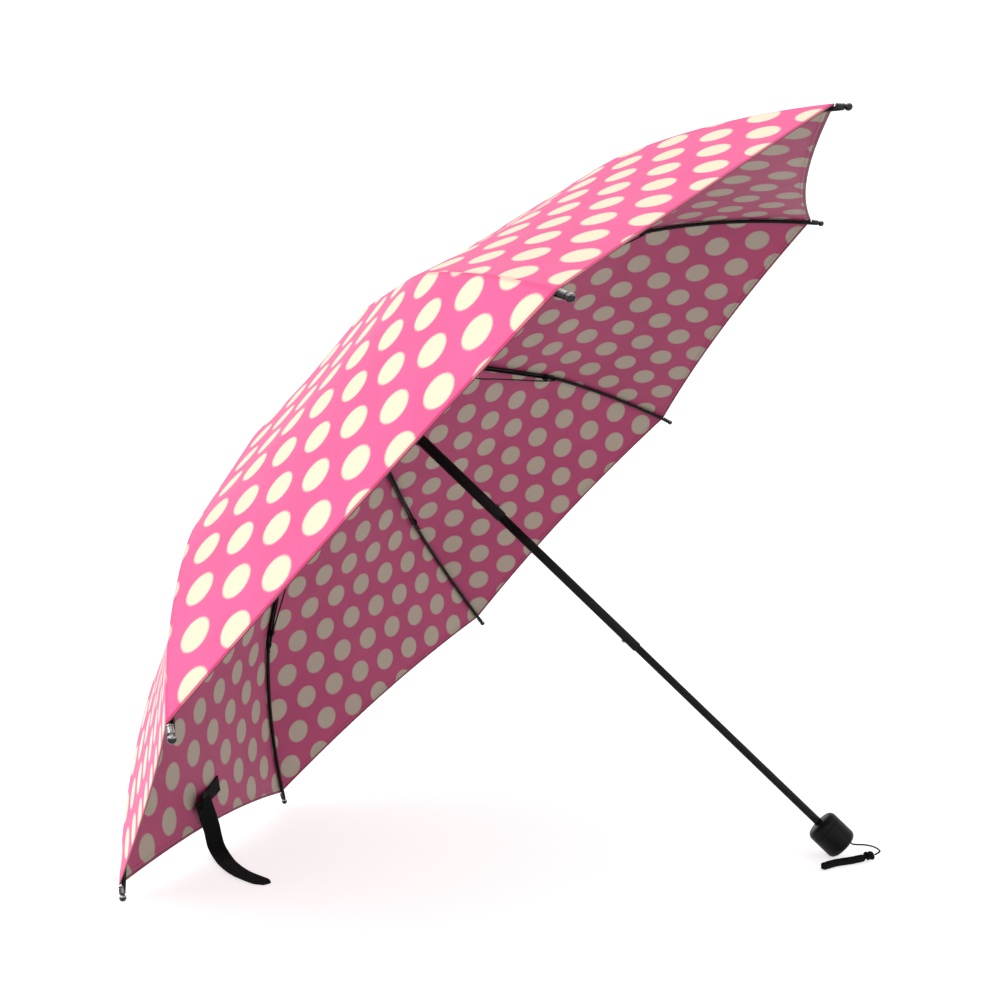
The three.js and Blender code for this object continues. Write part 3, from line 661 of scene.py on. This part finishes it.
def cloth_point(gore, along, share, depth=0.0):
    """A point of the cloth. share goes from 0 at the gore's first rib to 1 at its second."""
    spot = cloth_spot(along, share)
    radius, height = np.moveaxis(profile_at(spot), -1, 0)
    before, after = profile_at(spot - 0.5 * MM), profile_at(spot + 0.5 * MM)
    run = after - before
    run = run / np.maximum(np.linalg.norm(run, axis=-1, keepdims=True), 1e-9)
    low, high = np.array(OUT[gore % RIB_COUNT]), np.array(OUT[(gore + 1) % RIB_COUNT])
    share = np.asarray(share)[..., None]
    flat = low * (1 - share) + high * share
    outward = flat / np.linalg.norm(flat, axis=-1, keepdims=True)
    facing = -run[..., 1:] * outward + run[..., :1] * np.array(UP)
    chord = 2 * radius[..., None] * math.sin(HALF_GORE)
    sunk = GORE_SAG * chord * 4 * share * (1 - share) + np.asarray(depth)[..., None]
    return np.array(HUB) + flat * radius[..., None] + np.array(UP) * height[..., None] - facing * sunk


def cloth_normal(gore, along, share):
    """The outward normal of one gore, also right at its ribs and its rim."""
    near, far = np.clip(along - MM, 0, RIM), np.clip(along + MM, 0, RIM)
    left, right = np.clip(share - 0.004, 0, 1), np.clip(share + 0.004, 0, 1)
    down = cloth_point(gore, far, share) - cloth_point(gore, near, share)
    across = cloth_point(gore, along, right) - cloth_point(gore, along, left)
    normal = np.cross(down, across)
    return normal / np.linalg.norm(normal, axis=-1, keepdims=True)


# How each gore lay on the printed cloth when it was cut: (turned by degrees, moved across, moved along).
CUTS = [
    (55, -1, -17), (-27, -13, 9), (-13, 8, 0), (-17, -8, -19),
    (71, -11, -20), (30, 5, 5), (-77, 13, 22), (-4, -14, -21),
]


def cloth_print(gore, along, share):
    """A point's place on the printed cloth it was cut from, in metres."""
    spot = cloth_spot(along, share)
    radius = profile_at(spot)[..., 0]
    across = (share - 0.5) * 2 * radius * math.sin(HALF_GORE)
    down = np.interp(spot, REACH, PRINT_REACH)
    turned_by, move_across, move_along = CUTS[gore % RIB_COUNT]
    angle = math.radians(turned_by)
    return np.stack((
        across * math.cos(angle) - down * math.sin(angle) + move_across * MM,
        across * math.sin(angle) + down * math.cos(angle) + move_along * MM,
    ), -1)


def cloth_edge(along, share):
    """A point's distance from the nearest seam and from the rim, in metres."""
    radius = profile_at(cloth_spot(along, share))[..., 0]
    seam = np.minimum(share, 1 - share) * 2 * radius * math.sin(HALF_GORE)
    return np.stack((seam, RIM - along), -1)


def cloth_depth(along):
    return np.where(along > RIM - HEM_WIDTH - 0.1 * MM, HEM_THICKNESS, CLOTH_THICKNESS)


COLUMNS = 10  # of the mesh in each half gore


def panel(name, rib, rows):
    """The cloth on both sides of one rib, over one of its pieces: a thin closed sheet."""
    rows = np.asarray(rows)
    halves = [(rib - 1, np.linspace(0.5, 1, COLUMNS + 1)), (rib, np.linspace(0, 0.5, COLUMNS + 1))]
    width = 2 * COLUMNS + 1
    count = len(rows)
    skins = []
    for depth in (np.zeros(count), cloth_depth(rows)):
        sides = [
            cloth_point(gore % RIB_COUNT, *np.broadcast_arrays(rows[:, None], shares, depth[:, None]))
            for gore, shares in halves
        ]
        skins.append(np.concatenate([sides[0], sides[1][:, 1:]], 1))
    points = np.concatenate([skin.reshape(-1, 3) for skin in skins])

    def at(skin, row, column):
        return (skin * count + row) * width + column

    faces, normals, prints, edges, inner = [], [], [], [], []
    for side, (gore, shares) in enumerate(halves):
        gore %= RIB_COUNT
        along, share = np.broadcast_arrays(rows[:, None], shares)
        facing = cloth_normal(gore, along, share)
        printed = cloth_print(gore, along, share)
        edge = cloth_edge(along, share)
        for row in range(count - 1):
            for column in range(COLUMNS):
                shift = side * COLUMNS
                ring = [(row, column), (row + 1, column), (row + 1, column + 1), (row, column + 1)]
                for skin, way in ((0, 1), (1, -1)):
                    corners = ring[::way]
                    faces.append([at(skin, r, c + shift) for r, c in corners])
                    normals += [facing[r, c] * way for r, c in corners]
                    prints += [printed[r, c] for r, c in corners]
                    edges += [edge[r, c] for r, c in corners]
                    inner.append(skin)
    skin_faces = len(faces)
    border = [(0, c) for c in range(width)] + [(r, width - 1) for r in range(1, count)]
    border += [(count - 1, c) for c in range(width - 2, -1, -1)] + [(r, 0) for r in range(count - 2, 0, -1)]
    for (r, c), (next_r, next_c) in zip(border, border[1:] + border[:1]):
        faces.append([at(0, r, c), at(0, next_r, next_c), at(1, next_r, next_c), at(1, r, c)])
        inner.append(1)
    # The inner skin and the sheet's edges take the inside cloth, which is darkened as painted shade.
    piece = new_object(name, points, faces, ["cloth_outside", "cloth_inside_painted_shade"])
    data = piece.data
    data.polygons.foreach_set("material_index", inner)
    missing = 4 * (len(faces) - skin_faces)
    set_uv(piece, "print", prints + [(0.0, 0.0)] * missing)
    set_uv(piece, "edge", edges + [(1.0, 0.0)] * missing)
    data.shade_smooth()
    walls = [tuple(data.polygons[index].normal) for index in range(skin_faces, len(faces)) for _ in range(4)]
    data.normals_split_custom_set([tuple(normal) for normal in normals] + walls)
    return piece


CROWN_EDGE = 30 * MM  # along the cloth, where the part that stays gathered at the crown ends


def add_canopy():
    """Eight seams with cloth on both sides, split where the ribs fold, so that the cloth folds too."""
    hem_rows = [RIM - HEM_WIDTH - 0.6 * MM, RIM - HEM_WIDTH, RIM - 2 * MM, RIM]
    runs = {
        "crown": np.linspace(0, CROWN_EDGE, 8),
        "top": np.linspace(CROWN_EDGE, FIRST_JOINT, 16),
        "middle": np.linspace(FIRST_JOINT, SECOND_JOINT, 16),
        "outer": np.concatenate([np.linspace(SECOND_JOINT, hem_rows[0], 20), hem_rows[1:]]),
    }
    for rib in RIBS:
        for run, rows in runs.items():
            piece = panel(f"canopy_{run}_{rib}", rib, rows)
            if run == "crown":
                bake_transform(piece)
            else:
                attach(piece, f"{run}_rib_{rib}")
                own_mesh(piece)
            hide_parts("canopy")


# ---------------------------------------------------------------- link wires, ties and the closing strap


def in_rib_plane(rib, point):
    """The place of a (radius, height) point in one rib's plane."""
    return HUB + OUT[rib] * float(point[0]) + UP * float(point[1])


LINK_WIRE = {"radius": 0.8 * MM, "below": 17 * MM, "beside": 2.6 * MM}


def smooth_surface(turn, along):
    return 0.0


def add_link_wires():
    """The thin wire inside each middle rib that folds the outer rib, from one joint to the next."""
    for rib in RIBS:
        first = in_plane(pivot("middle_rib", rib), rib)
        second = in_plane(pivot("outer_rib", rib), rib)
        inward = -square_to(unit(second - first))
        run = second - first
        tangent = Vector(JOINTS[f"top_rib_fold_{rib}"]["axis"])
        route = [
            in_rib_plane(rib, first + run * share + inward * LINK_WIRE["below"] * drop) + tangent * beside
            for share, drop, beside in (
                (-0.02, 0.4, 0), (0.05, 0.95, LINK_WIRE["beside"]), (0.3, 0.82, LINK_WIRE["beside"]),
                (0.6, 0.5, LINK_WIRE["beside"]), (0.9, 0.18, LINK_WIRE["beside"]), (1.03, 0.08, 0),
            )
        ]
        piece, _, _ = strand(
            f"link_wire_{rib}", route, LINK_WIRE["radius"], smooth_surface, "steel", 60, 12,
        )
        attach(piece, f"middle_rib_{rib}")


TIE = {"thread": 0.35 * MM, "turns": 5, "wide": 3.4 * MM, "along": 4 * MM, "steps": 60}


def add_ties():
    """Black thread that ties the seam to each rib: a few turns round the rib at three places."""
    for rib in RIBS:
        crown = in_plane(pivot("top_rib", rib), rib)
        first = in_plane(pivot("middle_rib", rib), rib)
        second = in_plane(pivot("outer_rib", rib), rib)
        places = (
            ("top", crown, first, 0.88), ("middle", first, second, 0.12), ("middle", first, second, 0.9),
        )
        for number, (kind, start, end, share) in enumerate(places):
            along = unit(end - start)
            middle = start + (end - start) * share
            tangent = Vector(JOINTS[f"top_rib_fold_{rib}"]["axis"])
            line = []
            for step in range(TIE["steps"] + 1):
                turn = 2 * math.pi * TIE["turns"] * step / TIE["steps"]
                spot = middle + along * (step / TIE["steps"] - 0.5) * TIE["along"]
                spot = spot + square_to(along) * math.cos(turn) * TIE["wide"] * 0.8
                line.append(in_rib_plane(rib, spot) + tangent * math.sin(turn) * TIE["wide"] * 0.9)
            piece, _, _ = strand(
                f"tie_{kind}_{rib}_{number}", line, TIE["thread"], smooth_surface, "braid", 180, 6,
            )
            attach(piece, f"{kind}_rib_{rib}")


CLOSING = {"width": 16 * MM, "thickness": 1.2 * MM, "tip": 7 * MM, "taper_from": 0.93, "steps": 140}
CLOSING_LYING = 1.0  # height of the strap's middle where it lies on the floor, in millimetres
LOW_RIB = 4  # the first rib of the gore that is lowest, which carries the strap


def closing_route():
    """The strap's line: inside the gore, over the hem, then along the floor towards the camera."""
    hem = (wire_end(LOW_RIB) + wire_end(LOW_RIB + 1)) / 2
    offsets = [
        (9.5, -42, 52), (9.5, -34, 38), (10, -26, 22), (15, -30, 9), (28, -44, CLOSING_LYING + 0.6),
        (46, -68, CLOSING_LYING), (70, -94, CLOSING_LYING), (103, -119, CLOSING_LYING),
    ]
    return [Vector((hem.x + x * MM, hem.y + y * MM, z * MM)) for x, y, z in offsets]


def sewn_end_route():
    """The strap's other end: sewn flat on the inside of the gore, then it comes off it to the fold."""
    hem = (wire_end(LOW_RIB) + wire_end(LOW_RIB + 1)) / 2
    offsets = [(1.4, 9, 57), (1.5, -6, 52.5), (2.4, -22, 49), (5.5, -34, 49), (9, -42, 51)]
    return [Vector((hem.x + x * MM, hem.y + y * MM, z * MM)) for x, y, z in offsets]


def band(name, route, sides, width_at, thickness, material, steps):
    """A flat strap along a route. sides are its directions across, at its start and from its middle on."""
    line, length = smooth_line(route, steps)
    forward = np.gradient(line, axis=0)
    forward /= np.linalg.norm(forward, axis=1)[:, None]
    section = [(-1, -0.5), (-0.97, -1), (-0.4, -1), (0.4, -1), (0.97, -1), (1, -0.5)]
    section += [(-x, -y) for x, y in section]
    points, values = [], []
    for step in range(steps):
        share = step / (steps - 1)
        across = np.array(sides[0]) + (np.array(sides[1]) - np.array(sides[0])) * min(1, 2 * share)
        across = unit(across - forward[step] * across.dot(forward[step]))
        over = np.cross(forward[step], across)
        half = width_at(share) / 2
        for x, y in section:
            points.append(line[step] + across * x * half + over * y * thickness / 2)
            values.append((x * half, length * share))
    count = len(section)
    faces, corners = [], []
    for step in range(steps - 1):
        for side in range(count):
            after = (side + 1) % count
            here, there = step * count, (step + 1) * count
            ring = (here + side, there + side, there + after, here + after)
            faces.append(ring)
            corners += [values[index] for index in ring]
    for first, way in ((0, 1), ((steps - 1) * count, -1)):
        faces.append(tuple(range(first, first + count))[::way])
        corners += [(0, 0)] * count
    piece = new_object(name, points, faces, [material], 50)
    set_uv(piece, "print", corners)
    recalculate_normals(piece)
    return piece, line, length


def closing_width(share):
    taper = max(0, (share - CLOSING["taper_from"]) / (1 - CLOSING["taper_from"]))
    return CLOSING["width"] + (CLOSING["tip"] - CLOSING["width"]) * taper ** 1.6


def add_closing_strap():
    """Black webbing, sewn inside the lowest gore, that falls over its hem and lies on the floor."""
    piece, _, length = band(
        "closing_strap_webbing", closing_route(), ((0.6, 1, 0), (1, 0.55, 0)), closing_width,
        CLOSING["thickness"], "webbing", CLOSING["steps"],
    )
    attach(piece, f"outer_rib_{LOW_RIB}")
    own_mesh(piece)
    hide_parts("closing_strap")
    sewn, _, _ = band(
        "closing_strap_sewn_end", sewn_end_route(), ((0, -0.3, 1), (0.25, -0.4, 1)),
        lambda share: CLOSING["width"], CLOSING["thickness"], "webbing", 40,
    )
    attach(sewn, f"outer_rib_{LOW_RIB}")
    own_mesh(sewn)


# ---------------------------------------------------------------- turned pieces in place of faceted ones


def tube_outline(inner, outer, low, high, lip=0.35 * MM):
    """A tube's wall with its two ends rounded over."""
    return [
        (inner, low), *arc(outer - lip, low + lip, lip, -90, 0, 4),
        *arc(outer - lip, high - lip, lip, 0, 90, 4), (inner, high),
    ]


TUBE_WALL = 0.5 * MM


def add_tubes():
    """The three telescoping shaft tubes, with their ends rounded over."""
    bodies = {"upper_tube": "shaft_head", "middle_tube": "middle_tube", "lower_tube": "lower_tube"}
    for name, body in bodies.items():
        low, high, radius = along_shaft(name)
        piece = turned(
            f"{name}_drawn", tube_outline(radius - TUBE_WALL, radius, low, high), HUB, UP, "steel",
        )
        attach(piece, body)
        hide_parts(name)


HANDLE = {"shoulder": 5 * MM, "dome": 0.6 * MM, "groove": 0.35 * MM, "bore": 3.75 * MM, "socket": 26 * MM}


def add_handle():
    """The knob: a moulded cylinder with full round edges, slightly domed ends and a parting groove."""
    low, high, radius = along_shaft("handle")
    plug_low, plug_high, plug_radius = along_shaft("handle_plug")
    shoulder, dome, groove = HANDLE["shoulder"], HANDLE["dome"], HANDLE["groove"]
    seam = low + (high - low) * 0.72
    recess = plug_radius + 0.35 * MM
    outline = [
        (0, plug_high + 0.3 * MM), (recess, plug_high + 0.3 * MM), (recess, low + 0.3 * MM),
        (recess + 0.3 * MM, low), *arc(radius - shoulder, low + shoulder, shoulder, -90, 0, 14),
        (radius, seam - groove), (radius - groove, seam - groove * 0.4),
        (radius - groove, seam + groove * 0.4), (radius, seam + groove),
        *arc(radius - shoulder, high - shoulder - dome, shoulder, 0, 82, 14),
        (HANDLE["bore"] + 4 * MM, high - 0.15 * MM), (HANDLE["bore"] + 0.6 * MM, high),
        (HANDLE["bore"], high - 0.5 * MM), (HANDLE["bore"], high - HANDLE["socket"]),
        (0, high - HANDLE["socket"]),
    ]
    knob = turned("handle_knob", outline, HUB, UP, "plastic", 128)
    edge = 0.4 * MM
    plug = turned(
        "handle_plug_disc",
        [(0, plug_low), *arc(plug_radius - edge, plug_low + edge, edge, -90, 0, 5), (plug_radius, plug_high),
         (0, plug_high)],
        HUB, UP, "plastic", 96,
    )
    for piece, node in ((knob, "handle"), (plug, "handle_plug")):
        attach(piece, "lower_tube")
        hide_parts(node)


TIP = {"ball": 2.9 * MM, "sleeve": 2.5 * MM, "neck": 1.8 * MM, "depth": 6.2 * MM, "bore": 2.1 * MM}


def add_tip_caps():
    """The bright caps at the rib ends: a sleeve with a rolled groove, a neck and a ball."""
    for rib in RIBS:
        end = wire_end(rib)
        points = vertices(f"tip_cap_{rib}")
        reach = np.linalg.norm(points - np.array(pivot("outer_rib", rib)), axis=1)
        pole = Vector(points[reach.argmax()])
        axis = (pole - end).normalized()
        length = (points @ np.array(axis)).max() - (points @ np.array(axis)).min()
        ball, sleeve, neck, depth, bore = TIP.values()
        start = math.degrees(math.asin(neck / ball)) - 90
        outline = [
            (bore, 0), (sleeve - 0.2 * MM, 0), (sleeve, 0.2 * MM), (sleeve, 1.2 * MM),
            (sleeve - 0.25 * MM, 1.5 * MM), (sleeve, 1.8 * MM), (sleeve, depth - 0.8 * MM),
            *arc(neck, depth - 0.3 * MM, sleeve - neck, 0, 80, 5),
            *arc(0, length - ball, ball, start, 89, 18), (0, length), (0, depth), (bore, depth),
        ]
        outline = [(0 if radius < 0.02 * MM else radius, along) for radius, along in outline]
        piece = turned_cap(f"tip_cap_bright_{rib}", outline, pole - axis * length, axis)
        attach(piece, f"outer_rib_{rib}")
        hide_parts(f"tip_cap_{rib}")


def turned_cap(name, outline, centre, axis):
    """A turned piece whose outline starts in its bore, and meets the axis half way through."""
    split = max(index for index, (radius, _) in enumerate(outline) if radius == 0)
    outer, inner = outline[:split], outline[split:]
    return turned(name, [*inner, *outer], centre, axis, "metal", 40)


def dress_cad_nodes():
    """Gives every CAD node that is shown its own procedural finish, from the record's slots."""
    finish = {
        "cloth": "cloth_inside_painted_shade", "black_plastic": "plastic", "black_steel": "steel", "bright_metal": "metal",
        "webbing": "webbing",
    }
    for part in frame["record"]["subparts"]:
        node = frame["nodes"][part["node"]]
        for place in node.material_slots:
            place.material = MATERIALS[finish[part["material_slot"]]]


add_camera()
add_wrist_strap()
add_canopy()
add_closing_strap()
add_link_wires()
add_ties()
add_tubes()
add_handle()
add_tip_caps()
dress_cad_nodes()

# ---------------------------------------------------------------- floor and light


def add_stage():
    """A pale floor that sweeps up all round, so that every view has the same plain backdrop."""
    flat, sweep, height, segments = 3.2, 1.2, 4.0, 96
    outline = [(0, 0), (flat, 0)]
    outline += [
        (flat + sweep * math.sin(angle), sweep * (1 - math.cos(angle)))
        for angle in np.linspace(0.1, math.pi / 2, 14)
    ]
    outline.append((flat + sweep, height))
    points, faces = [Vector((0, 0, 0))], []
    for radius, level in outline[1:]:
        for turn in range(segments):
            angle = 2 * math.pi * turn / segments
            points.append(Vector((radius * math.cos(angle), radius * math.sin(angle), level)))
    for turn in range(segments):
        after = (turn + 1) % segments
        faces.append((0, 1 + turn, 1 + after))
        for ring in range(len(outline) - 2):
            low, high = 1 + ring * segments, 1 + (ring + 1) * segments
            faces.append((low + turn, high + turn, high + after, low + after))
    floor = new_object("floor", points, faces, ["floor"], 60)


LIGHTS = (  # name, place, size, power, aimed at
    ("key", (-1.3, -2.0, 2.4), 2.0, 14, (0, 0, 0.25)),
    ("fill", (2.2, -1.6, 1.4), 2.0, 8, (0, 0, 0.25)),
    ("top", (0.2, 0.6, 3.2), 2.6, 9, (0, 0, 0.1)),
)


WORLD_STRENGTH = 0.6


def add_light():
    """Plain soft studio light from large round lamps and an even white surround."""
    world = bpy.data.worlds.new("studio")
    bpy.context.scene.world = world
    world.use_nodes = True
    world.node_tree.nodes["Background"].inputs["Color"].default_value = (1, 1, 1, 1)
    world.node_tree.nodes["Background"].inputs["Strength"].default_value = WORLD_STRENGTH
    for name, place, size, power, aim in LIGHTS:
        light = bpy.data.objects.new(name, bpy.data.lights.new(name, "AREA"))
        light.data.shape = "DISK"
        light.data.size = size
        light.data.energy = power
        light.location = place
        light.rotation_euler = (Vector(aim) - Vector(place)).to_track_quat("-Z", "Y").to_euler()
        bpy.context.scene.collection.objects.link(light)
    bpy.context.scene.view_settings.view_transform = "Standard"


add_stage()
add_light()
